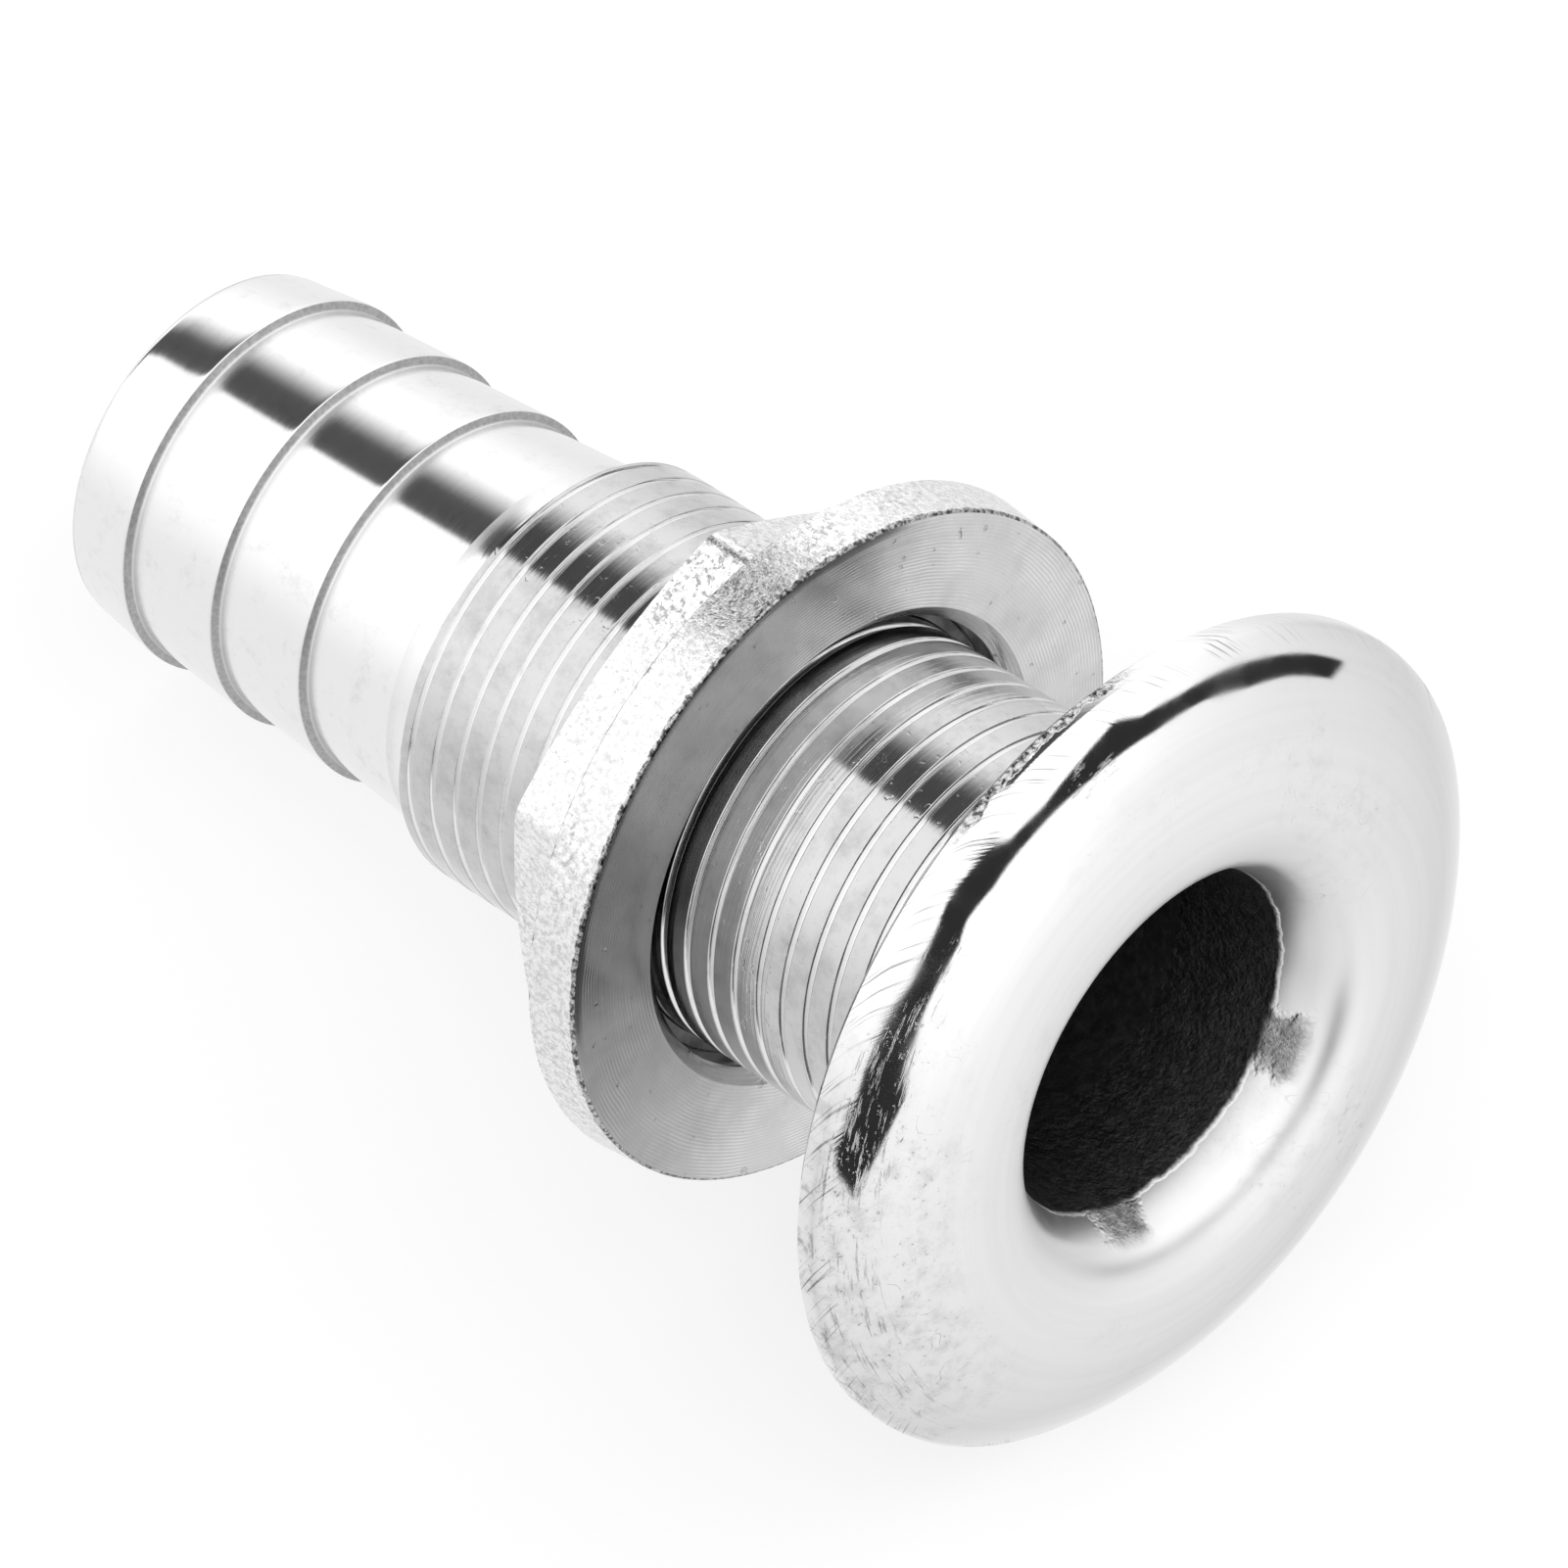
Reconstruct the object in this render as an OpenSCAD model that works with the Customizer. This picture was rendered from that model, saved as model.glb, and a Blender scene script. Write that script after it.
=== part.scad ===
// Thru hull fitting: a domed mushroom head with a bell mouth, a threaded shank, a barbed
// hose tail and a loose flanged hex nut. The axis lies along +X, and the head's mouth
// faces +X. The origin is on the axis, in the plane of the head's flat back face.

/* [Which piece] */
// Piece to draw: all, body or flange_nut

/* [Head] */
// Largest radius of the head, at the edge between rim and dome, mm
head_r = 32; // [20:0.1:60]
// Radius of the flat back face, mm
seat_r = 31.3; // [19:0.1:59]
// Height of the bevel between the back face and the rim, mm
seat_bevel_h = 0.6; // [0.1:0.1:2]
// Height of the rim's edge above the back face, mm
rim_h = 1.9; // [1:0.1:6]
// Height of the dome's crest above the back face, mm
crown_h = 7.4; // [4:0.1:16]
// Radius of the circle along the dome's crest, mm
crown_r = 19; // [12:0.1:40]
// Radius of the rounding that rolls into the mouth, mm
lip_round_r = 5; // [1:0.1:12]
// Angle the rounding turns through before it runs out into the throat's cone, degrees
lip_angle = 62; // [30:1:90]
// Radius at the throat, where the polished cone ends and the cast taper starts, mm
throat_r = 13.5; // [6:0.1:34]
// Height of the throat above the back face, mm
throat_h = 2.7; // [0:0.1:10]
// Distance from the back face to where the mouth's taper meets the straight bore, mm
taper_end = 6; // [0:0.1:20]

/* [Shank thread] */
// Radius over the thread's crests, G 1 pipe thread, mm
thread_r = 16.62; // [8:0.01:40]
// Distance from crest to crest, mm
thread_pitch = 2.309; // [1:0.001:4]
// Radial depth of the thread, mm
thread_depth = 0.5; // [0.1:0.05:3]
// Width of the flat that each crest keeps, mm
crest_w = 1.66; // [0.1:0.01:3]
// Width of the flat at the bottom of each groove, mm
root_w = 0.05; // [0.02:0.01:2]
// Distance from the back face to the far end of the thread, mm
thread_end = 55; // [20:0.1:120]
// Distance from the back face to the first groove, mm
thread_gap = 2.2; // [1:0.1:8]

/* [Hose tail] */
// Distance from the back face to the tip of the tail, mm
tail_end = 91; // [40:0.1:200]
// Radius over the barbs, mm
barb_r = 14.75; // [6:0.05:36]
// Radius at the foot of each barb, mm
barb_root_r = 14.1; // [5:0.05:34]
// Distance from one barb to the next, mm
barb_pitch = 9; // [4:0.1:20]
// Distance from the back face to the step of the barb nearest the thread, mm
barb_near = 66.6; // [30:0.1:180]
// Number of barbs
barb_count = 3; // [1:1:6]
// Width of the narrow cylinder on each barb's edge, mm
barb_land = 0.5; // [0.2:0.1:2]
// Axial run of the step behind each barb, mm
barb_step = 0.3; // [0.1:0.1:2]
// Radius of the neck where it meets the thread, mm
neck_r = 15.1; // [6:0.05:36]
// Length of the straight part of the neck, mm
neck_w = 0.5; // [0.2:0.1:8]
// Outer radius of the tip, mm
tip_r = 14; // [5:0.05:34]
// Chamfer on both edges of the tip, mm
tip_chamfer = 0.5; // [0.1:0.1:2]

/* [Waterway] */
// Radius of the straight bore, mm
bore_r = 12; // [4:0.05:32]

/* [Flange nut] */
// Distance from the head's back face to the nut's seat face, mm
nut_face_x = 27.2; // [4:0.1:60]
// Radius of the nut's flange at the seat face, mm
nut_rim_r = 26.2; // [16:0.1:50]
// Radius of the nut's flange at its back, mm
nut_rim_back_r = 26.6; // [16:0.1:50]
// Bevel on the edge of the seat face, mm
nut_edge = 0.3; // [0.1:0.1:2]
// Thickness of the nut's flange at its rim, mm
nut_rim_w = 4.1; // [2:0.1:12]
// Distance across the hex flats, mm
hex_af = 41; // [20:0.1:80]
// Length of the whole nut, mm
nut_w = 11.5; // [6:0.1:40]
// Radius of the flat end face behind the hex, mm
hex_end_r = 20; // [12:0.1:50]
// Angle of the chamfer on the hex corners, degrees
hex_chamfer = 18; // [5:1:45]
// Turn of the hex from a corner straight up, degrees
nut_turn = -4; // [-30:1:30]
// Radius of the nut's mouth in the seat face, mm
mouth_r = 18.6; // [10:0.1:40]
// Radius of the recess inside the mouth, mm
recess_r = 17.6; // [9:0.1:40]
// Depth of the recess, mm
recess_w = 3.2; // [1:0.1:10]
// Radial gap between the nut's bore and the thread's crests, mm
nut_gap = 0.05; // [0.01:0.01:0.5]

/* [Hidden] */
steel = [0.78, 0.78, 0.77];
cast_steel = [0.7, 0.7, 0.69];
// Straight sides per arc of the head's section
arc_steps = 14;
// Facets asked of each turned surface, enough to mark it as a true circle
round_fn = 96;

// The dome is one arc from the crest down to the rim's edge
crown_span = head_r - crown_r;
crown_drop = crown_h - rim_h;
dome_arc_r = (crown_drop * crown_drop + crown_span * crown_span) / (2 * crown_drop);
dome_half = asin(crown_span / dome_arc_r);
lip_centre_h = crown_h - lip_round_r;

// How far a cutting solid reaches past the faces it opens
cut_over = 1;

thread_root_r = thread_r - thread_depth;
thread_turns = floor((thread_end - thread_gap) / thread_pitch);
flank_w = (thread_pitch - crest_w - root_w) / 2;

barb_far = barb_near + (barb_count - 1) * barb_pitch;
nut_bore_r = thread_r + nut_gap;
hex_corner_r = hex_af / 2 / cos(30);

// Turns a section of [radius, height] points round the X axis, heights along +X
module turned(section) {
    rotate([0, 90, 0])
        rotate_extrude($fn = round_fn)
            polygon(section);
}

// Points of an arc round [radius, height], angles measured from +X towards the radius
function arc(centre, r, from, to) = [
    for (i = [0 : arc_steps])
        let (a = from + (to - from) * i / arc_steps)
        [centre[0] + r * sin(a), centre[1] + r * cos(a)]
];

// One groove's bottom and the next crest, listed towards the tail
function groove(h) = [
    [thread_r, h],
    [thread_root_r, h - flank_w],
    [thread_root_r, h - flank_w - root_w],
    [thread_r, h - 2 * flank_w - root_w]
];

function thread_section() = [
    for (i = [0 : thread_turns - 1])
        each groove(-thread_gap - i * thread_pitch)
];

// The step and land of one barb, listed towards the tail
function barb(h) = [
    [barb_root_r, h + barb_step],
    [barb_r, h],
    [barb_r, h - barb_land]
];

// All barbs, each ramp running down to the foot of the step behind it
function barb_section() = [
    for (i = [0 : barb_count - 1])
        each barb(-barb_near - i * barb_pitch)
];

function head_section() = concat(
    [[bore_r, -taper_end], [throat_r, throat_h]],
    arc([crown_r, lip_centre_h], lip_round_r, -lip_angle, 0),
    arc([crown_r, crown_h - dome_arc_r], dome_arc_r, dome_half / arc_steps, dome_half),
    [[head_r, seat_bevel_h], [seat_r, 0]]
);

function tail_section() = concat(
    [[neck_r, -thread_end], [neck_r, -thread_end - neck_w]],
    barb_section(),
    [
        [tip_r, -tail_end + tip_chamfer],
        [tip_r - tip_chamfer, -tail_end],
        [bore_r + tip_chamfer, -tail_end],
        [bore_r, -tail_end + tip_chamfer]
    ]
);

// Head, shank and hose tail: one casting, turned all over
module body() {
    color(steel)
        turned(concat(
            head_section(),
            [[thread_r, 0]],
            thread_section(),
            [[thread_r, -thread_end + flank_w]],
            tail_section()
        ));
}

// Hexagon with its corners turned nut_turn from straight up
module hex_prism() {
    rotate([0, 90, 0])
        rotate([0, 0, nut_turn])
            translate([0, 0, -nut_face_x - nut_w])
                cylinder(h = nut_w - nut_rim_w / 2, r = hex_corner_r, $fn = 6);
}

// Cone that takes the corners off the hex's end
module hex_envelope() {
    far = hex_corner_r + cut_over;
    end_h = -nut_face_x - nut_w;
    turned([
        [0, end_h],
        [hex_end_r, end_h],
        [far, end_h + (far - hex_end_r) * tan(hex_chamfer)],
        [far, -nut_face_x - nut_edge],
        [0, -nut_face_x - nut_edge]
    ]);
}

module nut_flange() {
    turned([
        [0, -nut_face_x],
        [nut_rim_r - nut_edge, -nut_face_x],
        [nut_rim_r, -nut_face_x - nut_edge],
        [nut_rim_back_r, -nut_face_x - nut_rim_w],
        [0, -nut_face_x - nut_rim_w]
    ]);
}

// Mouth bevel, recess and the plain bore that stands in for the female thread
module nut_hole() {
    bevel = mouth_r - recess_r;
    end_h = -nut_face_x - nut_w;
    turned([
        [0, -nut_face_x + cut_over],
        [mouth_r + cut_over, -nut_face_x + cut_over],
        [recess_r, -nut_face_x - bevel],
        [recess_r, -nut_face_x - recess_w],
        [nut_bore_r, -nut_face_x - recess_w],
        [nut_bore_r, end_h - cut_over],
        [0, end_h - cut_over]
    ]);
}

module flange_nut() {
    color(cast_steel)
        difference() {
            union() {
                nut_flange();
                intersection() {
                    hex_prism();
                    hex_envelope();
                }
            }
            nut_hole();
        }
}

body();
flange_nut();
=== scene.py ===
import math

import bmesh
import bpy
import numpy as np
from mathutils import Matrix, Vector, noise


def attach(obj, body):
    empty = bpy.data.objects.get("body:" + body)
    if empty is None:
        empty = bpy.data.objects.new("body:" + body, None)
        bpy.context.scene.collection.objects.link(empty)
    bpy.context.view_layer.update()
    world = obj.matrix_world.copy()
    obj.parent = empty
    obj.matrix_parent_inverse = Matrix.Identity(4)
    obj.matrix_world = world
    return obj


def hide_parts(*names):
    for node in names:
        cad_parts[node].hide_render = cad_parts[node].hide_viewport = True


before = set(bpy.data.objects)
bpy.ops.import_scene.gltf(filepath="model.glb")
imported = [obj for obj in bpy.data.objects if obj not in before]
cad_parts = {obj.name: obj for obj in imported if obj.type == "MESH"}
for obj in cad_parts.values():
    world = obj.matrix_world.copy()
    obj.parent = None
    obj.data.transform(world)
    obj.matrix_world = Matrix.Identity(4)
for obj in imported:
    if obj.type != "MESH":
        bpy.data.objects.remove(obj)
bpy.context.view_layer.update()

MM = 0.001

# ---------------------------------------------------------------- sizes, in millimetres
# Axial heights are measured along +X from the head's back face.
COLUMNS = 288            # points round each turned ring
HEAD_R = 32.0
SEAT_R = 31.3
SEAT_BEVEL = 0.6
RIM_H = 1.9
CROWN_H = 7.4
CROWN_R = 19.0
LIP_ROUND = 5.0
LIP_ANGLE = 62           # degrees the lip turns through before the throat's cone
THROAT_R = 13.5
THROAT_X = 2.7
TAPER_END = -6.0
THREAD_R = 16.60
THREAD_DEPTH = 0.42
PITCH = 2.309
THREAD_START = -55.0
THREAD_STOP = -0.7
THREAD_PHASE = 0.15      # turns, where the crest crosses straight up
THREAD_CORE_R = 12       # below this radius a thread groove moves nothing
TOOL_PITCH = 0.28        # spacing of the lines left by facing
CREST_HALF = 0.38        # half the crest flat, in turns
ROOT_HALF = 0.01
BORE_R = 12.0
TAIL_END = -91.0
TIP_R = 14.0
BARB_R = 14.74
BARB_ROOT_R = 14.1
BARB_NEAR = -66.6
BARB_PITCH = 9.0
BARB_COUNT = 3
NECK_R = 15.05

NUT_COLUMNS = 720
NUT_FACE = -27.2
NUT_W = 11.5
NUT_RIM_R = 26.2
NUT_RIM_BACK_R = 26.6
NUT_RIM_W = 4.1
HEX_AF = 41.0
HEX_END_R = 20.0
HEX_CHAMFER = math.radians(18)
NUT_TURN = math.radians(-4)
MOUTH_R = 18.6
RECESS_R = 17.6
RECESS_W = 3.2
NUT_BORE_R = 16.68


# ---------------------------------------------------------------- mesh helpers
def smoothstep(a, b, x):
    t = np.clip((np.asarray(x, float) - a) / (b - a), 0, 1)
    return t * t * (3 - 2 * t)


def around(angle):
    """Directions round the axis: angle 0 is straight up, and it turns from +Z towards -Y."""
    return -np.sin(angle), np.cos(angle)


def arc(cx, cr, radius, start, end, steps):
    """Heights and radii along an arc, with angles in degrees from +X towards the radius."""
    a = np.radians(np.linspace(start, end, steps))
    return list(zip(cx + radius * np.cos(a), cr + radius * np.sin(a)))


def spaced(points, step):
    """The same section with extra points, none further apart than step."""
    out = [points[0]]
    for (x0, r0), (x1, r1) in zip(points, points[1:]):
        n = max(1, math.ceil(math.hypot(x1 - x0, r1 - r0) / step))
        out += [(x0 + (x1 - x0) * i / n, r0 + (r1 - r0) * i / n) for i in range(1, n + 1)]
    return out


def new_mesh(name, verts, faces, tags, smooth_angle):
    """A closed mesh object from shared points. tags gives each face's material index."""
    mesh = bpy.data.meshes.new(name)
    mesh.from_pydata([tuple(v) for v in verts], [], faces)
    mesh.update()
    mesh.polygons.foreach_set("material_index", np.asarray(tags, np.int32))
    mesh.polygons.foreach_set("use_smooth", np.ones(len(faces), bool))
    obj = bpy.data.objects.new(name, mesh)
    bpy.context.scene.collection.objects.link(obj)
    bm = bmesh.new()
    bm.from_mesh(mesh)
    bmesh.ops.recalc_face_normals(bm, faces=bm.faces)
    for edge in bm.edges:
        if len(edge.link_faces) == 2:
            edge.smooth = edge.calc_face_angle(0) < smooth_angle
    bm.to_mesh(mesh)
    bm.free()
    return obj


class Rings:
    """Collects rings of points and joins each to the next with quads."""

    def __init__(self, columns):
        self.columns = columns
        self.angles = np.arange(columns) * 2 * math.pi / columns
        self.verts = []
        self.faces = []
        self.tags = []

    def add(self, x, r):
        """One ring; x and r are numbers or one value per column. Returns its point numbers."""
        x = np.broadcast_to(np.asarray(x, float), self.angles.shape)
        r = np.broadcast_to(np.asarray(r, float), self.angles.shape)
        dy, dz = around(self.angles)
        first = len(self.verts)
        self.verts += list(np.stack([x, r * dy, r * dz], 1) * MM)
        return list(range(first, first + self.columns))

    def join(self, a, b, tag):
        n = self.columns
        for j in range(n):
            k = (j + 1) % n
            self.faces.append((a[j], a[k], b[k], b[j]))
            self.tags.append(tag)


# ---------------------------------------------------------------- body
POLISHED, TURNED, SEAT, RAW = range(4)


def thread_depth_at(x):
    """Share of the full thread depth at height x: it fades in from the tail, out at the head."""
    fade_in = smoothstep(THREAD_START - 0.2, THREAD_START + 1.2, x)
    fade_out = 1 - smoothstep(THREAD_STOP - 2.4, THREAD_STOP - 0.4, x)
    return fade_in * fade_out


def thread_shape(t):
    """Radius below the crest, as a share of the depth, at t turns past a crest's middle."""
    u = abs((t + 0.5) % 1.0 - 0.5)
    spread = (-0.02, -0.01, 0.0, 0.01, 0.02)
    flank = 0.5 - CREST_HALF - ROOT_HALF
    return sum(min(max((u + d - CREST_HALF) / flank, 0), 1) for d in spread) / len(spread)


def thread_steps():
    """Places of the section's points within one turn, closer together at the edges."""
    half = [0.0, 0.1, 0.2, 0.3, 0.345, 0.36, 0.37, 0.38, 0.39, 0.4, 0.42, 0.45, 0.47]
    return sorted([-h for h in half[1:]] + half)


def thread_surface(rings, low_ring, low_x, high_ring, high_x):
    """The helical stretch between two plain rings of the body."""
    n = rings.columns
    steps = thread_steps()
    per = len(steps)
    first_turn = math.floor(low_x / PITCH) - 2
    last_turn = math.ceil(high_x / PITCH) + 2
    rows = [(k + s) for k in range(first_turn, last_turn) for s in steps]
    grid = {}

    def point(i, j):
        """Point i of the spiral section in column j; column n is column 0 one turn on."""
        if j == n:
            i, j = i + per, 0
        turn = rows[i] + j / n + THREAD_PHASE
        x = turn * PITCH
        if x <= low_x:
            return low_ring[j]
        if x >= high_x:
            return high_ring[j]
        key = (i, j)
        if key not in grid:
            depth = THREAD_DEPTH * thread_shape(rows[i]) * thread_depth_at(x)
            base = NECK_R + (THREAD_R - NECK_R) * smoothstep(low_x, low_x + 0.5, x)
            r = base - depth * (base - THREAD_CORE_R) / (THREAD_R - THREAD_CORE_R)
            a = rings.angles[j]
            dy, dz = around(a)
            grid[key] = len(rings.verts)
            rings.verts.append(np.array([x, r * dy, r * dz]) * MM)
        return grid[key]

    for i in range(len(rows) - per - 1):
        for j in range(n):
            quad = [point(i, j), point(i, j + 1), point(i + 1, j + 1), point(i + 1, j)]
            face = []
            for p in quad:
                if p not in face:
                    face.append(p)
            if len(face) >= 3:
                rings.faces.append(tuple(face))
                rings.tags.append(TURNED)


def tail_profile():
    """Neck, barbs, tip and bore, listed from the thread's end towards the tip and back."""
    pts = [(THREAD_START, NECK_R), (THREAD_START - 0.5, NECK_R - 0.02)]
    pts += [(THREAD_START - 0.9, NECK_R - 0.08)]
    slope = (BARB_R - BARB_ROOT_R) / (BARB_PITCH - 0.3)
    for i in range(BARB_COUNT):
        x = BARB_NEAR - i * BARB_PITCH
        rise = slope if i else (NECK_R - BARB_ROOT_R) / (THREAD_START - 0.5 - BARB_NEAR - 0.3)
        pts += [(x + 1.0, BARB_ROOT_R + rise * 0.7), (x + 0.5, BARB_ROOT_R + rise * 0.2)]
        pts += [(x + 0.38, BARB_ROOT_R + 0.01), (x + 0.28, BARB_ROOT_R + 0.04)]
        pts += [(x + 0.2, BARB_ROOT_R + 0.1), (x + 0.14, BARB_ROOT_R + 0.18)]
        pts += [(x + 0.04, BARB_R - 0.16), (x, BARB_R - 0.05), (x - 0.06, BARB_R - 0.015)]
        pts += [(x - 0.2, BARB_R - 0.2 * slope), (x - 0.6, BARB_R - 0.6 * slope)]
    pts += [(TAIL_END + 0.7, TIP_R), (TAIL_END + 0.3, TIP_R - 0.1)]
    pts += [(TAIL_END + 0.06, TIP_R - 0.4), (TAIL_END, TIP_R - 0.6)]
    pts += [(TAIL_END, BORE_R + 0.5), (TAIL_END + 0.1, BORE_R + 0.2), (TAIL_END + 0.5, BORE_R)]
    return pts


def mouth_profile():
    """Bell mouth, dome, rim and seat, listed from the bore outwards and round to the shank."""
    drop = CROWN_H - RIM_H
    span = HEAD_R - CROWN_R
    radius = (drop * drop + span * span) / (2 * drop)
    edge = math.degrees(math.asin(span / radius))
    pts = [(TAPER_END, BORE_R), (THROAT_X - 0.6, THROAT_R - 0.1), (THROAT_X, THROAT_R)]
    pts += arc(CROWN_H - LIP_ROUND, CROWN_R, LIP_ROUND, -LIP_ANGLE, 0, 40)
    pts += arc(CROWN_H - radius, CROWN_R, radius, edge / 60, edge - 2, 60)
    return pts


def rim_profile():
    pts = [(RIM_H + 0.12, HEAD_R - 0.12), (RIM_H - 0.3, HEAD_R - 0.02)]
    pts += [(SEAT_BEVEL, HEAD_R - 0.06), (0.15, SEAT_R + 0.2), (0.0, SEAT_R - 0.1)]
    pts += [(0.0, THREAD_R + 0.9)]
    return pts


def build_body():
    rings = Rings(COLUMNS)
    thread_low = rings.add(THREAD_START, NECK_R)
    last = thread_low
    for x, r in spaced(tail_profile(), 1.2)[1:]:
        ring = rings.add(x, r)
        inside = r <= BORE_R + 0.01
        rings.join(last, ring, RAW if inside else TURNED)
        last = ring
    bore = rings.add(TAPER_END, BORE_R)
    rings.join(last, bore, RAW)
    last = bore
    for x, r in mouth_profile()[1:]:
        ring = rings.add(x, r)
        rings.join(last, ring, RAW if x < 1.5 else POLISHED)
        last = ring
    for x, r in spaced(rim_profile(), 1.5):
        ring = rings.add(x, r)
        rings.join(last, ring, SEAT if x <= 0.001 else POLISHED)
        last = ring
    thread_high = rings.add(THREAD_STOP, THREAD_R - 0.02)
    foot = rings.add(-0.2, THREAD_R + 0.3)
    rings.join(last, foot, SEAT)
    rings.join(foot, thread_high, TURNED)
    thread_surface(rings, thread_low, THREAD_START, thread_high, THREAD_STOP)
    return new_mesh("fitting_body", rings.verts, rings.faces, rings.tags, math.radians(38))


# ---------------------------------------------------------------- nut
CAST, FACED, THREADED = range(3)


def hex_radius(angle):
    """Radius of the hex's side at each angle, with its corners slightly rounded."""
    flat = HEX_AF / 2
    a = (np.asarray(angle) - NUT_TURN - math.pi / 6) % (math.pi / 3)
    a = np.minimum(a, math.pi / 3 - a)
    sharp = flat / np.cos(a)
    limit = flat / math.cos(math.pi / 6) - 0.25
    return sharp - np.logaddexp(0, (sharp - limit) * 9) / 9


def hex_sections(side):
    """Bore, end face and hex, from inside the nut outwards and round to the flange's back."""
    end = NUT_FACE - NUT_W
    rim_back = NUT_FACE - NUT_RIM_W
    edge = end + (side - HEX_END_R) * math.tan(HEX_CHAMFER)
    sections = []
    for x, r in ((NUT_FACE - RECESS_W, NUT_BORE_R), (end + 0.6, NUT_BORE_R)):
        sections.append((x, r, THREADED))
    sections.append((end, NUT_BORE_R + 0.5, THREADED))
    for t in np.linspace(0.1, 1, 9):
        sections.append((end, NUT_BORE_R + 0.5 + t * (HEX_END_R - NUT_BORE_R - 0.5), CAST))
    for t in np.linspace(0.1, 1, 9):
        sections.append((end + (edge - end) * t, HEX_END_R + (side - HEX_END_R) * t, CAST))
    foot = rim_back - 0.5
    for t in np.linspace(0.04, 1, 24):
        sections.append((edge + (foot - edge) * t, side, CAST))
    for t in np.linspace(0.1, 1, 12):
        blend = side + (NUT_RIM_BACK_R - 0.5 - side) * t
        sections.append((foot + 0.5 * smoothstep(0, 0.5, t), blend, CAST))
    return sections


def flange_sections():
    """Flange's rim, seat face and the recess in its mouth, from the back round to the bore."""
    rim_back = NUT_FACE - NUT_RIM_W
    sections = []
    sections.append((rim_back - 0.02, NUT_RIM_BACK_R - 0.2, CAST))
    for t in np.linspace(0.04, 0.96, 16):
        sections.append((rim_back + NUT_RIM_W * t, NUT_RIM_BACK_R - 0.4 * t, CAST))
    sections.append((NUT_FACE - 0.05, NUT_RIM_R - 0.08, CAST))
    sections.append((NUT_FACE, NUT_RIM_R - 0.2, CAST))
    for t in np.linspace(0.1, 1, 12):
        sections.append((NUT_FACE, NUT_RIM_R - 0.2 + t * (MOUTH_R + 0.1 - NUT_RIM_R + 0.2), FACED))
    sections.append((NUT_FACE - 0.12, MOUTH_R - 0.05, FACED))
    sections.append((NUT_FACE - 0.9, RECESS_R + 0.05, FACED))
    sections.append((NUT_FACE - 1.1, RECESS_R, FACED))
    sections.append((NUT_FACE - RECESS_W + 0.1, RECESS_R, FACED))
    sections.append((NUT_FACE - RECESS_W, RECESS_R - 0.1, FACED))
    return sections


def build_nut():
    rings = Rings(NUT_COLUMNS)
    rings.angles = rings.angles + NUT_TURN
    first = None
    last = None
    for x, r, tag in hex_sections(hex_radius(rings.angles)) + flange_sections():
        ring = rings.add(x, r)
        if last is not None:
            rings.join(last, ring, tag)
        first = first or ring
        last = ring
    rings.join(last, first, THREADED)
    return new_mesh("clamp_flange_nut", rings.verts, rings.faces, rings.tags, math.radians(30))


# ---------------------------------------------------------------- materials
# Places round the axis, in radians.
# DARK_SIDE: where each faced surface is painted darker, a painted dark reflection
DARK_SIDE = 1.15         # the darker side of each faced surface
SHOULDER = 0.02          # where the casting's dark grains are thickest


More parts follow.
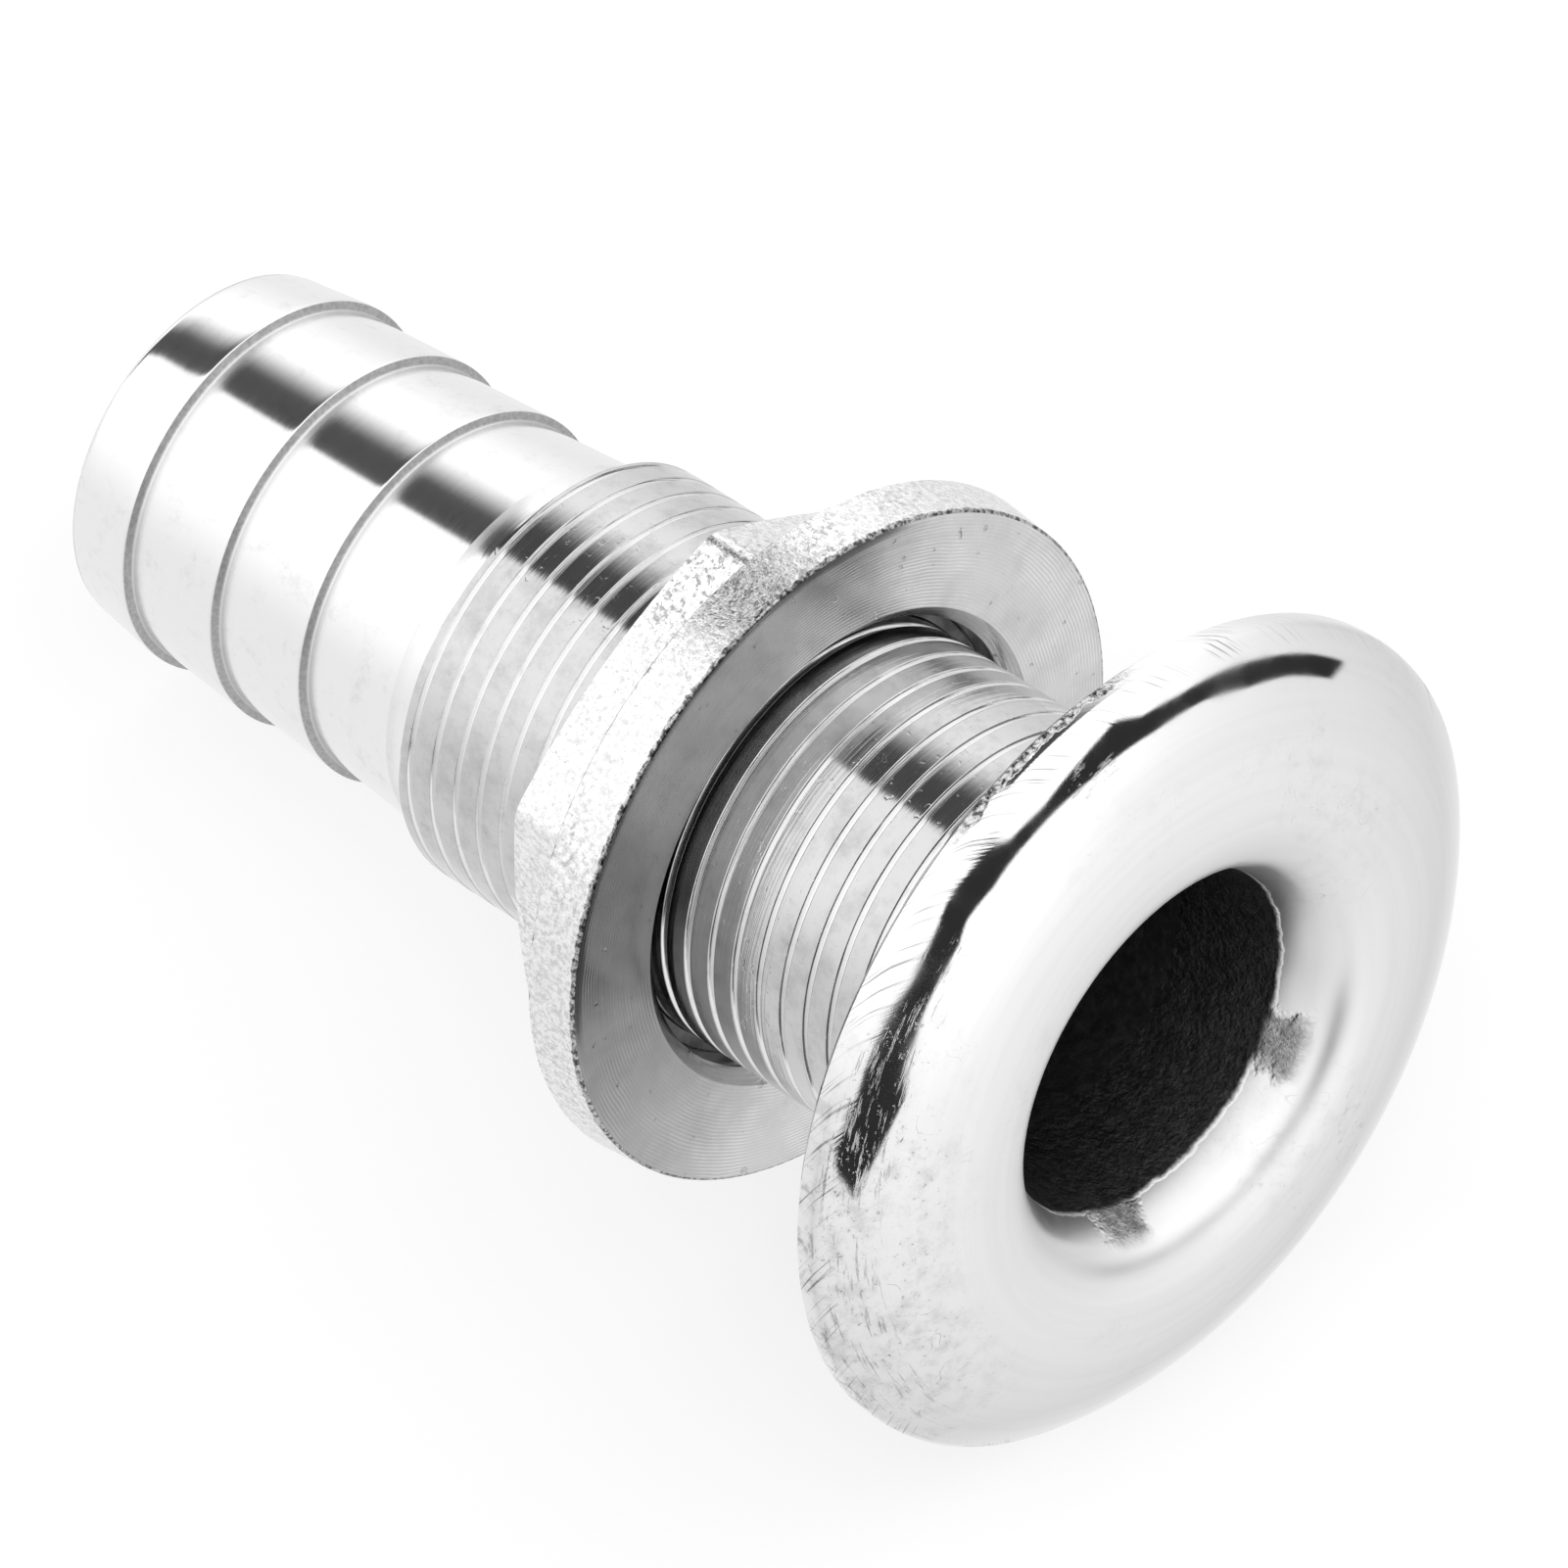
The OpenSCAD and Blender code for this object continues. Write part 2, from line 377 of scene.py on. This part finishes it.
class Shade:
    """Short calls for wiring one metal material."""

    def __init__(self, name, grey, roughness, anisotropy=0.0):
        self.mat = bpy.data.materials.new(name)
        self.mat.use_nodes = True
        self.nodes = self.mat.node_tree.nodes
        self.links = self.mat.node_tree.links
        self.shader = self.nodes["Principled BSDF"]
        self.shader.inputs["Metallic"].default_value = 1.0
        self.shader.inputs["Base Color"].default_value = (grey, grey, grey, 1)
        self.shader.inputs["Roughness"].default_value = roughness
        self.shader.inputs["Anisotropic"].default_value = anisotropy
        if anisotropy:
            tangent = self.nodes.new("ShaderNodeTangent")
            tangent.direction_type = "RADIAL"
            tangent.axis = "X"
            self.shader.inputs["Anisotropic Rotation"].default_value = 0.25
            self.links.new(tangent.outputs[0], self.shader.inputs["Tangent"])
        place = self.nodes.new("ShaderNodeTexCoord")
        self.coords = place.outputs["Object"]
        self.normal = place.outputs["Normal"]
        self.xyz = None

    @classmethod
    def on_tree(cls, tree):
        """The same short calls on a world's node tree."""
        sh = cls.__new__(cls)
        sh.nodes = tree.nodes
        sh.links = tree.links
        sh.coords = sh.nodes.new("ShaderNodeTexCoord").outputs["Generated"]
        sh.xyz = None
        return sh

    def put(self, socket, value):
        if isinstance(value, (int, float)):
            socket.default_value = value
        else:
            self.links.new(value, socket)

    def math(self, op, a, b=0.0):
        node = self.nodes.new("ShaderNodeMath")
        node.operation = op
        self.put(node.inputs[0], a)
        self.put(node.inputs[1], b)
        return node.outputs[0]

    def split(self):
        if self.xyz is None:
            self.xyz = self.nodes.new("ShaderNodeSeparateXYZ")
            self.links.new(self.coords, self.xyz.inputs[0])
        return self.xyz.outputs

    def height(self):
        """Distance along the axis, in millimetres."""
        return self.math("MULTIPLY", self.split()[0], 1 / MM)

    def radius(self):
        """Distance from the axis, in millimetres."""
        x, y, z = self.split()
        total = self.math("ADD", self.math("MULTIPLY", y, y), self.math("MULTIPLY", z, z))
        return self.math("MULTIPLY", self.math("SQRT", total), 1 / MM)

    def angle(self):
        x, y, z = self.split()
        return self.math("ARCTAN2", self.math("MULTIPLY", y, -1.0), z)

    def facing(self):
        """How squarely the surface faces along the axis towards the head."""
        node = self.nodes.new("ShaderNodeSeparateXYZ")
        self.links.new(self.normal, node.inputs[0])
        return node.outputs[0]

    def slanted(self, per_mm, along):
        """Places on the rim, skewed so that noise on them runs in fine slanting lines."""
        x = self.height()
        run = self.math("MULTIPLY", self.angle(), HEAD_R)
        across = self.math("ADD", run, self.math("MULTIPLY", x, 1.6))
        return self.vector(self.math("MULTIPLY", across, per_mm), self.math("MULTIPLY", x, along), 0.0)

    def vector(self, x, y, z):
        node = self.nodes.new("ShaderNodeCombineXYZ")
        for socket, value in zip(node.inputs, (x, y, z)):
            self.put(socket, value)
        return node.outputs[0]

    def noise(self, scale, detail=2.0, rough=0.5, vector=None):
        """Noise from 0 to 1. scale counts per millimetre, or per unit of vector."""
        node = self.nodes.new("ShaderNodeTexNoise")
        source = vector if vector is not None else self.coords
        mapping = self.nodes.new("ShaderNodeMapping")
        unit = 1.0 if vector is not None else 1 / MM
        mapping.inputs["Scale"].default_value = (unit, unit, unit)
        self.links.new(source, mapping.inputs[0])
        self.links.new(mapping.outputs[0], node.inputs["Vector"])
        node.inputs["Scale"].default_value = scale
        node.inputs["Detail"].default_value = detail
        node.inputs["Roughness"].default_value = rough
        return node.outputs["Fac"]

    def ramp(self, value, *stops):
        """Maps a value through (place, grey) stops."""
        node = self.nodes.new("ShaderNodeValToRGB")
        self.links.new(value, node.inputs[0])
        ramp = node.color_ramp
        while len(ramp.elements) < len(stops):
            ramp.elements.new(0.5)
        for element, (place, grey) in zip(ramp.elements, stops):
            element.position = place
            element.color = (grey, grey, grey, 1)
        return node.outputs[0]

    def range(self, value, a, b, low, high):
        node = self.nodes.new("ShaderNodeMapRange")
        node.interpolation_type = "SMOOTHSTEP"
        for socket, number in zip(node.inputs, (value, a, b, low, high)):
            self.put(socket, number)
        return node.outputs[0]

    def mix(self, factor, a, b):
        """a where factor is 0, b where it is 1."""
        return self.math("ADD", a, self.math("MULTIPLY", factor, self.math("SUBTRACT", b, a)))

    def grey(self, value):
        node = self.nodes.new("ShaderNodeCombineColor")
        for socket in node.inputs[:3]:
            self.links.new(value, socket)
        self.links.new(node.outputs[0], self.shader.inputs["Base Color"])

    def rough(self, value):
        self.links.new(value, self.shader.inputs["Roughness"])

    def bump(self, *layers):
        """Stacks bump layers, each (height value, depth in millimetres)."""
        normal = None
        for value, depth in layers:
            node = self.nodes.new("ShaderNodeBump")
            node.inputs["Strength"].default_value = 1.0
            node.inputs["Distance"].default_value = depth * MM
            self.links.new(value, node.inputs["Height"])
            if normal is not None:
                self.links.new(normal, node.inputs["Normal"])
            normal = node.outputs[0]
        self.links.new(normal, self.shader.inputs["Normal"])


def circular_lines(sh, across, per_mm, wander=0.15):
    """Fine turning lines: noise that is long round the axis and short across it."""
    around_it = sh.math("MULTIPLY", sh.angle(), 0.6)
    slow = sh.noise(0.25, 2)
    moved = sh.math("ADD", across, sh.math("MULTIPLY", slow, wander))
    return sh.noise(1.0, 2.5, 0.6, sh.vector(sh.math("MULTIPLY", moved, per_mm), around_it, 0.0))


def mouth_dullness(sh, r, x):
    """1 on the raw bore, with the uneven edge where the polishing stopped."""
    edge = sh.math("ADD", x, sh.math("MULTIPLY", sh.noise(0.3, 4, 0.65), -1.4))
    near_axis = sh.range(r, 15.4, 16.2, 1.0, 0.0)
    return sh.math("MULTIPLY", sh.range(edge, 1.5, 2.1, 1.0, 0.0), near_axis)


def missed_patches(sh, x):
    """Two places just outside the throat that the polishing wheel missed."""
    wobble = sh.math("MULTIPLY", sh.math("SUBTRACT", sh.noise(0.5, 3, 0.6), 0.5), 0.3)
    angle = sh.math("ADD", sh.angle(), wobble)
    spots = 0.0
    for centre, half in ((-2.25, 0.13), (2.72, 0.11)):
        gap = sh.math("ABSOLUTE", sh.math("SUBTRACT", angle, centre))
        spots = sh.math("MAXIMUM", spots, sh.range(gap, half - 0.04, half + 0.08, 1.0, 0.0))
    spots = sh.math("MULTIPLY", spots, sh.range(sh.radius(), 16.0, 17.0, 1.0, 0.0))
    return sh.math("MULTIPLY", spots, sh.range(x, 4.4, 5.8, 1.0, 0.0))


def rim_casting(sh, r, x):
    """Cast skin left along the rim's back edge, mostly over one stretch of it."""
    on_rim = sh.range(r, 31.5, 31.85, 0.0, 1.0)
    top = sh.math("ADD", 0.5, sh.math("MULTIPLY", sh.noise(0.5, 3, 0.6), 1.5))
    low = sh.range(sh.math("SUBTRACT", x, top), -0.1, 0.1, 1.0, 0.0)
    starts = sh.range(sh.angle(), -0.2, -0.05, 0.0, 1.0)
    ends = sh.range(sh.angle(), 0.3, 0.45, 1.0, 0.0)
    here = sh.math("MULTIPLY", starts, ends)
    return sh.math("MULTIPLY", sh.math("MULTIPLY", low, on_rim), here)


def handled_patch(sh, r):
    """Where the head has been knocked about: low on one side, and faintly here and there."""
    starts = sh.range(sh.angle(), 0.9, 1.2, 0.0, 1.0)
    ends = sh.range(sh.angle(), 1.9, 2.4, 1.0, 0.0)
    outer = sh.range(r, 21, 27, 0.0, 1.0)
    here = sh.math("MULTIPLY", sh.math("MULTIPLY", starts, ends), outer)
    faint = sh.range(sh.noise(0.085, 3, 0.6), 0.5, 0.65, 0.0, 0.35)
    return sh.math("MAXIMUM", faint, here)


def curved_scratches(sh, scale, width):
    """Thin wandering lines, where a smooth noise crosses its middle value."""
    off = sh.math("ABSOLUTE", sh.math("SUBTRACT", sh.noise(scale, 1, 0.5), 0.5))
    return sh.range(off, 0.0, width, 1.0, 0.0)


def worn_marks(sh, r, patch):
    """Pits and scratches in the handled places, running round the axis near the rim."""
    broken = sh.range(sh.noise(0.6, 2, 0.5), 0.5, 0.6, 0.0, 1.0)
    pits = sh.range(sh.noise(2.0, 4, 0.7), 0.62, 0.7, 0.0, 1.0)
    lines = sh.math("MULTIPLY", curved_scratches(sh, 0.3, 0.007), broken)
    around = sh.vector(sh.math("MULTIPLY", r, 3.5), sh.math("MULTIPLY", sh.angle(), 7.0), 0.0)
    streaks = sh.range(sh.noise(1.0, 4, 0.7, around), 0.54, 0.66, 0.0, 1.0)
    near_rim = sh.range(r, 27.5, 29.0, 0.0, 1.0)
    lines = sh.mix(near_rim, lines, streaks)
    return sh.math("MULTIPLY", sh.math("MAXIMUM", pits, lines), patch)


def rim_grinding(sh, r):
    """Slanting lines left by grinding: their height, and the part of the rim they show on."""
    on_rim = sh.range(r, 30.6, 31.4, 0.0, 1.0)
    grind = sh.noise(1.0, 2, 0.5, sh.slanted(3.6, 0.22))
    here = sh.range(sh.noise(0.12, 3, 0.6), 0.42, 0.62, 0.1, 1.0)
    return grind, sh.math("MULTIPLY", on_rim, here)


def polished_material():
    """Mirror polish over the head, fading to raw cast metal inside the mouth and, in a few
    places, at the back edge of the rim."""
    sh = Shade("polished_steel", 0.8, 0.06)
    r = sh.radius()
    x = sh.height()
    raw = mouth_dullness(sh, r, x)
    missed = missed_patches(sh, x)
    cast_edge = rim_casting(sh, r, x)
    patch = handled_patch(sh, r)
    wear_and_side_shade = worn_marks(sh, r, patch)
    grind, on_rim = rim_grinding(sh, r)
    smudge = sh.math("MULTIPLY", sh.range(sh.noise(0.5, 6, 0.75), 0.42, 0.7, 0.0, 1.0), patch)
    swirl = sh.noise(1.0, 2, 0.5, sh.vector(sh.math("MULTIPLY", r, 1.2), sh.angle(), 0.0))
    dull = sh.math("MAXIMUM", sh.math("MAXIMUM", raw, cast_edge), missed)
    flare = sh.range(r, 18.5, 21.5, 0.3, 0.0)
    haze = sh.range(sh.noise(0.14, 4, 0.6), 0.35, 0.75, 0.04, 0.12)
    clear = sh.math("ADD", sh.math("ADD", haze, flare), sh.math("MULTIPLY", wear_and_side_shade, 0.2))
    sh.rough(sh.mix(dull, clear, 0.5))
    tone = sh.math("SUBTRACT", 0.86, sh.math("MULTIPLY", wear_and_side_shade, 0.35))
    tone = sh.math("SUBTRACT", tone, sh.math("MULTIPLY", smudge, 0.2))
    tone = sh.math("SUBTRACT", tone, sh.range(swirl, 0.35, 0.7, 0.0, 0.025))
    cast_tone = sh.range(sh.noise(1.8, 4, 0.7), 0.38, 0.62, 0.04, 0.85)
    # Inside the mouth the grey drops to near black: partly the raw cast skin, partly painted shade
    # inside the bore.
    bore_tone_and_shade = sh.range(sh.noise(0.9, 5, 0.7), 0.3, 0.8, 0.04, 0.09)
    missed_tone = sh.range(sh.noise(0.8, 4, 0.7), 0.3, 0.7, 0.25, 0.6)
    tone = sh.mix(missed, tone, missed_tone)
    tone = sh.mix(cast_edge, tone, cast_tone)
    cuts = sh.math("MULTIPLY", sh.range(grind, 0.57, 0.66, 0.0, 1.0), on_rim)
    tone = sh.math("SUBTRACT", tone, sh.math("MULTIPLY", cuts, 0.45))
    sh.grey(sh.mix(raw, tone, bore_tone_and_shade))
    sh.bump(
        (sh.noise(0.045, 1), 0.3),
        (sh.math("MULTIPLY", grind, on_rim), 0.012),
        (sh.math("MULTIPLY", sh.noise(1.8, 4, 0.7), dull), 0.3),
        (wear_and_side_shade, -0.01),
        (swirl, 0.0007),
        (sh.noise(7.0, 2), 0.0006),
    )
    return sh.mat


def start_edge(sh, x):
    """Dark ragged edge where the thread starts."""
    start = sh.math("ADD", x, sh.math("MULTIPLY", sh.noise(1.2, 3, 0.6), 0.5))
    near = sh.range(start, -55.0, -54.85, 0.0, 1.0)
    far = sh.range(start, -54.6, -54.4, 1.0, 0.0)
    return sh.math("MULTIPLY", near, far)


def barb_foot(sh, x, near_start):
    """Extra roughness just in front of each barb's step."""
    along = sh.math("MULTIPLY", sh.math("SUBTRACT", x, BARB_NEAR), 1 / BARB_PITCH)
    foot = sh.range(sh.math("FRACT", along), 0.02, 0.2, 0.25, 0.0)
    return sh.math("MULTIPLY", foot, sh.math("SUBTRACT", 1.0, near_start))


def turned_material():
    """Satin turned tail and thread. The bands between the thread's grooves are painted greyer, and the
    barbs' step faces darker, both as painted shade.
    """
    sh = Shade("turned_steel", 0.8, 0.2, 0.75)
    r = sh.radius()
    x = sh.height()
    lines = circular_lines(sh, x, 9.0)
    coarse = circular_lines(sh, x, 2.2)
    on_thread = sh.range(x, -55.4, -54.8, 0.0, 1.0)
    near_start = sh.range(x, -57.6, -55.2, 0.0, 1.0)
    depth = sh.range(r, THREAD_R - 0.1, THREAD_R - 0.015, 1.0, 0.0)
    facing = sh.range(sh.facing(), 0.2, 0.8, 0.0, 1.0)
    step = sh.math("MULTIPLY", facing, sh.math("SUBTRACT", 1.0, on_thread))
    stain = sh.range(sh.noise(0.3, 5, 0.7), 0.42, 0.72, 0.0, 1.0)
    specks = sh.range(sh.noise(1.9, 3, 0.6), 0.68, 0.76, 0.0, 1.0)
    nicks = sh.range(sh.noise(1.3, 2, 0.5), 0.64, 0.7, 0.0, 1.0)
    # Painted shade: the bands between the thread's grooves are painted 0.24 darker, with real staining
    # (stain) on top.
    band = sh.math("MULTIPLY", sh.math("SUBTRACT", 1.0, depth), on_thread)
    band_shade_and_stain = sh.math("MULTIPLY", band, sh.math("ADD", 0.24, sh.math("MULTIPLY", stain, 0.12)))
    marks = sh.math("MULTIPLY", sh.math("MULTIPLY", specks, on_thread), 0.12)
    faint = sh.math("MULTIPLY", sh.range(sh.noise(0.5, 5, 0.75), 0.5, 0.8, 0.0, 1.0), 0.12)
    tone = sh.math("SUBTRACT", sh.math("SUBTRACT", 0.86, band_shade_and_stain), sh.math("ADD", marks, faint))
    # Painted shade: the barbs' step faces, which face the head, are painted a darker grey of 0.4 to
    # 0.55.
    step_shade_tone = sh.range(sh.noise(3.0, 3, 0.7), 0.3, 0.7, 0.4, 0.55)
    tone = sh.math("SUBTRACT", tone, sh.math("MULTIPLY", start_edge(sh, x), 0.7))
    sh.grey(sh.mix(step, tone, step_shade_tone))
    satin = sh.range(lines, 0.2, 0.8, 0.09, 0.17)
    foot = barb_foot(sh, x, near_start)
    sh.rough(sh.math("ADD", satin, sh.math("ADD", foot, sh.math("MULTIPLY", step, 0.1))))
    nick = sh.math("MULTIPLY", nicks, band)
    sh.bump(
        (coarse, 0.004),
        (lines, 0.0022),
        (sh.math("MULTIPLY", circular_lines(sh, x, 3.4), near_start), 0.02),
        (nick, -0.006),
    )
    return sh.mat


def faced_material(name, grey):
    """A face turned flat: concentric tool lines, staining, a few dings, and one side painted darker as
    a painted dark reflection.
    """
    sh = Shade(name, grey, 0.18, 0.3)
    r = sh.radius()
    wander = sh.math("MULTIPLY", sh.noise(0.2, 2), 0.5)
    turns = sh.math("MULTIPLY", sh.math("ADD", r, wander), math.tau / TOOL_PITCH)
    lines = sh.math("MULTIPLY", sh.math("ADD", sh.math("SINE", turns), 1.0), 0.5)
    deep = sh.range(sh.noise(0.14, 3, 0.6), 0.42, 0.62, 0.15, 1.0)
    fine = circular_lines(sh, r, 6.0, 0.05)
    stain = sh.range(sh.noise(0.11, 5, 0.65), 0.35, 0.75, 0.0, 0.22)
    spots = sh.range(sh.noise(0.7, 4, 0.7), 0.6, 0.8, 0.0, 0.3)
    bright_lines = sh.math("MULTIPLY", sh.math("POWER", lines, 3.0), sh.math("MULTIPLY", deep, 0.3))
    marks = sh.math("SUBTRACT", sh.math("ADD", stain, spots), bright_lines)
    # Painted dark reflection: the grey is painted down to half on the side round DARK_SIDE.
    side = sh.math("COSINE", sh.math("SUBTRACT", sh.angle(), DARK_SIDE))
    wear_and_side_shade = sh.range(side, -0.1, 0.95, 1.0, 0.5)
    shade = sh.math("MULTIPLY", sh.math("SUBTRACT", 1.0, marks), wear_and_side_shade)
    sh.grey(sh.math("MULTIPLY", grey, shade))
    sh.rough(sh.range(fine, 0.25, 0.75, 0.13, 0.22))
    dings = sh.range(sh.noise(0.7, 2, 0.5), 0.7, 0.74, 0.0, 1.0)
    sh.bump((sh.math("MULTIPLY", lines, deep), 0.004), (fine, 0.003), (dings, -0.06))
    return sh.mat


def cast_material():
    """Blasted casting: bright, grainy and sparkling, with dark pits."""
    sh = Shade("cast_steel", 0.8, 0.2)
    grains = sh.noise(2.4, 4, 0.7)
    lumps = sh.noise(0.9, 3, 0.6)
    pits = sh.range(sh.noise(1.8, 5, 0.7), 0.53, 0.63, 0.0, 1.0)
    shoulder = sh.math("COSINE", sh.math("SUBTRACT", sh.angle(), SHOULDER))
    shoulder = sh.range(shoulder, 0.94, 1.0, 0.0, 1.0)
    patch = sh.range(sh.noise(0.1, 2), 0.4, 0.6, 0.3, 0.9)
    patch = sh.math("MAXIMUM", patch, sh.math("MULTIPLY", shoulder, 2.0))
    pits = sh.math("MULTIPLY", pits, patch)
    x = sh.height()
    ragged = sh.math("MULTIPLY", sh.noise(1.1, 3, 0.6), 0.7)
    front = sh.range(sh.math("ADD", x, ragged), NUT_FACE, NUT_FACE + 0.12, 0.0, 1.0)
    back_x = NUT_FACE - NUT_RIM_W
    back = sh.range(sh.math("SUBTRACT", x, ragged), back_x - 0.3, back_x - 0.15, 1.0, 0.0)
    back = sh.math("MULTIPLY", back, sh.range(sh.radius(), 25.8, 26.1, 0.0, 1.0))
    edges = sh.math("MAXIMUM", front, back)
    light = sh.range(grains, 0.35, 0.6, 0.68, 0.95)
    light = sh.math("SUBTRACT", light, sh.math("MULTIPLY", pits, 0.2))
    sh.grey(sh.mix(edges, light, sh.range(grains, 0.4, 0.6, 0.06, 0.6)))
    sh.rough(sh.range(grains, 0.3, 0.7, 0.06, 0.18))
    sh.bump((lumps, 0.06), (grains, 0.045), (pits, -0.03))
    return sh.mat


def recess_material():
    """Inside of the nut: turned and dull, its near-black grey painted in as shade inside the recess.
    """
    sh = Shade("nut_inside", 0.2, 0.3, 0.4)
    lines = circular_lines(sh, sh.height(), 4.0)
    stain = sh.noise(0.3, 4, 0.65)
    sh.grey(sh.range(stain, 0.3, 0.7, 0.05, 0.16))
    sh.bump((lines, 0.01))
    return sh.mat


def raw_material():
    """As-cast bore: scaly and rough; its near-black grey is partly the cast skin and partly painted
    shade inside the bore.
    """
    sh = Shade("raw_bore", 0.05, 0.65)
    scale = sh.noise(0.9, 5, 0.7)
    sh.grey(sh.range(scale, 0.3, 0.8, 0.04, 0.09))
    sh.bump((scale, 0.3))
    return sh.mat


# ---------------------------------------------------------------- stage
CAMERA_LENS = 449.72
CAMERA_PLACE = Vector((0.72186, -0.58938, 0.98011))
CAMERA_RIGHT = Vector((0.70457, 0.69904, -0.12219))
CAMERA_BACK = Vector((0.55141, -0.43091, 0.71433))


def add_camera():
    data = bpy.data.cameras.new("camera")
    data.sensor_width = 36
    data.lens = CAMERA_LENS
    data.clip_end = 20
    cam = bpy.data.objects.new("camera", data)
    bpy.context.scene.collection.objects.link(cam)
    right = CAMERA_RIGHT.normalized()
    back = CAMERA_BACK.normalized()
    up = back.cross(right).normalized()
    turn = Matrix((right, up, back)).transposed()
    cam.matrix_world = Matrix.Translation(CAMERA_PLACE) @ turn.to_4x4()
    bpy.context.scene.camera = cam


OVERHEAD_LIGHT = 1.3
GAP_LIGHT = 0.03
BEAM_LIGHT = 0.08
# how bright the rest of the room is: (degrees from straight ahead, brightness)
ROOM_LIGHT = [(5, 1.3), (25, 1.06), (55, 0.92), (90, 0.76), (130, 0.95), (180, 1.0)]
# the room's dark gap: (azimuth, degrees from straight ahead) along its two edges
GAP_NEAR = [(-106, 65), (-98, 59), (-90, 51), (-80, 45), (-70, 37), (-60, 32), (-50, 27)]
GAP_NEAR += [(-25, 20), (-10, 17), (0, 15), (25, 15), (40, 12), (60, 12), (75, 14)]
GAP_NEAR += [(90, 16), (100, 17), (110, 20), (130, 22)]
GAP_FAR = [(-106, 72), (-98, 67), (-90, 61), (-80, 54), (-70, 46), (-60, 41), (-50, 41)]
GAP_FAR += [(-40, 34), (-25, 26), (-10, 24), (0, 27), (25, 27), (40, 24), (60, 24), (75, 29)]
GAP_FAR += [(90, 34), (100, 36), (110, 45), (130, 42)]
FLOOR_NORMAL = Vector((0.170, 0, 0.985)).normalized()


def add_floor():
    mesh = bpy.data.meshes.new("floor")
    point = Vector((0, 0, -HEAD_R * MM)) - FLOOR_NORMAL * 0.0004
    side = Vector((0, 1, 0))
    along = side.cross(FLOOR_NORMAL)
    size = 6.0
    signs = ((-1, -1), (1, -1), (1, 1), (-1, 1))
    corners = [point + along * a * size + side * b * size for a, b in signs]
    mesh.from_pydata([tuple(c) for c in corners], [], [(0, 1, 2, 3)])
    floor = bpy.data.objects.new("floor", mesh)
    bpy.context.scene.collection.objects.link(floor)
    floor.visible_glossy = False
    mat = bpy.data.materials.new("paper")
    mat.use_nodes = True
    shader = mat.node_tree.nodes["Principled BSDF"]
    shader.inputs["Base Color"].default_value = (0.3, 0.3, 0.3, 1)
    shader.inputs["Emission Color"].default_value = (1, 1, 1, 1)
    shader.inputs["Emission Strength"].default_value = 0.7
    shader.inputs["Roughness"].default_value = 0.9
    shader.inputs["Specular IOR Level"].default_value = 0.1
    mesh.materials.append(mat)


def edge_ramp(sh, turn, rows):
    """An angle in degrees that follows the azimuth: rows of (azimuth -180 to 180, degrees)."""
    stops = [((azimuth + 180) / 360, value / 180) for azimuth, value in rows]
    return sh.math("MULTIPLY", sh.ramp(turn, *stops), 180.0)


def add_world():
    """White studio seen in the metal: bright overhead, pale elsewhere, with the dark gap of
    the room above the head and a dark beam above the tail."""
    world = bpy.data.worlds.new("studio")
    world.use_nodes = True
    sh = Shade.on_tree(world.node_tree)
    x, y, z = sh.split()
    polar = sh.math("MULTIPLY", sh.math("ARCCOSINE", x), 180 / math.pi)
    azimuth = sh.math("ARCTAN2", sh.math("MULTIPLY", y, -1.0), z)
    degrees = sh.math("MULTIPLY", azimuth, 180 / math.pi)
    turn = sh.math("ADD", sh.math("MULTIPLY", degrees, 1 / 360), 0.5)
    side = sh.math("ABSOLUTE", degrees)
    overhead = sh.range(side, 45, 105, 1.0, 0.0)
    room = sh.ramp(sh.math("MULTIPLY", polar, 1 / 180), *[(p / 180, v) for p, v in ROOM_LIGHT])
    light = sh.mix(overhead, room, OVERHEAD_LIGHT)
    near = edge_ramp(sh, turn, GAP_NEAR)
    far = edge_ramp(sh, turn, GAP_FAR)
    inside = sh.range(sh.math("SUBTRACT", polar, near), -0.8, 0.8, 0.0, 1.0)
    outside = sh.range(sh.math("SUBTRACT", polar, far), -0.8, 0.8, 1.0, 0.0)
    starts = sh.range(degrees, -107, -105, 0.0, 1.0)
    ends = sh.math("MULTIPLY", starts, sh.range(degrees, 129, 131, 1.0, 0.0))
    gap = sh.math("MULTIPLY", sh.math("MULTIPLY", inside, outside), ends)
    beam_starts = sh.range(degrees, -48, -22, 0.0, 1.0)
    beam = sh.math("MULTIPLY", beam_starts, sh.range(degrees, -3.5, -1, 1.0, 0.0))
    beam = sh.math("MULTIPLY", beam, sh.range(polar, 102, 112, 0.0, 1.0))
    beam = sh.math("MULTIPLY", beam, sh.range(polar, 172, 179, 1.0, 0.0))
    light = sh.mix(gap, light, GAP_LIGHT)
    light = sh.mix(beam, light, BEAM_LIGHT)
    background = sh.nodes["Background"]
    sh.links.new(light, background.inputs["Color"])
    bpy.context.scene.world = world


def main():
    add_camera()
    add_floor()
    add_world()
    body = build_body()
    # The head's back face is painted dark grey (0.16) as painted shade: it stands for the shaded gap
    # behind the head, which the nut's face mirrors.
    seat = faced_material("head_seat", 0.16)
    for mat in (polished_material(), turned_material(), seat, raw_material()):
        body.data.materials.append(mat)
    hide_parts("body")
    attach(body, "hull_fitting")
    nut = build_nut()
    for mat in (cast_material(), faced_material("nut_face", 0.68), recess_material()):
        nut.data.materials.append(mat)
    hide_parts("flange_nut")
    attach(nut, "clamp_nut")
    bpy.context.scene.view_settings.view_transform = "Standard"


main()
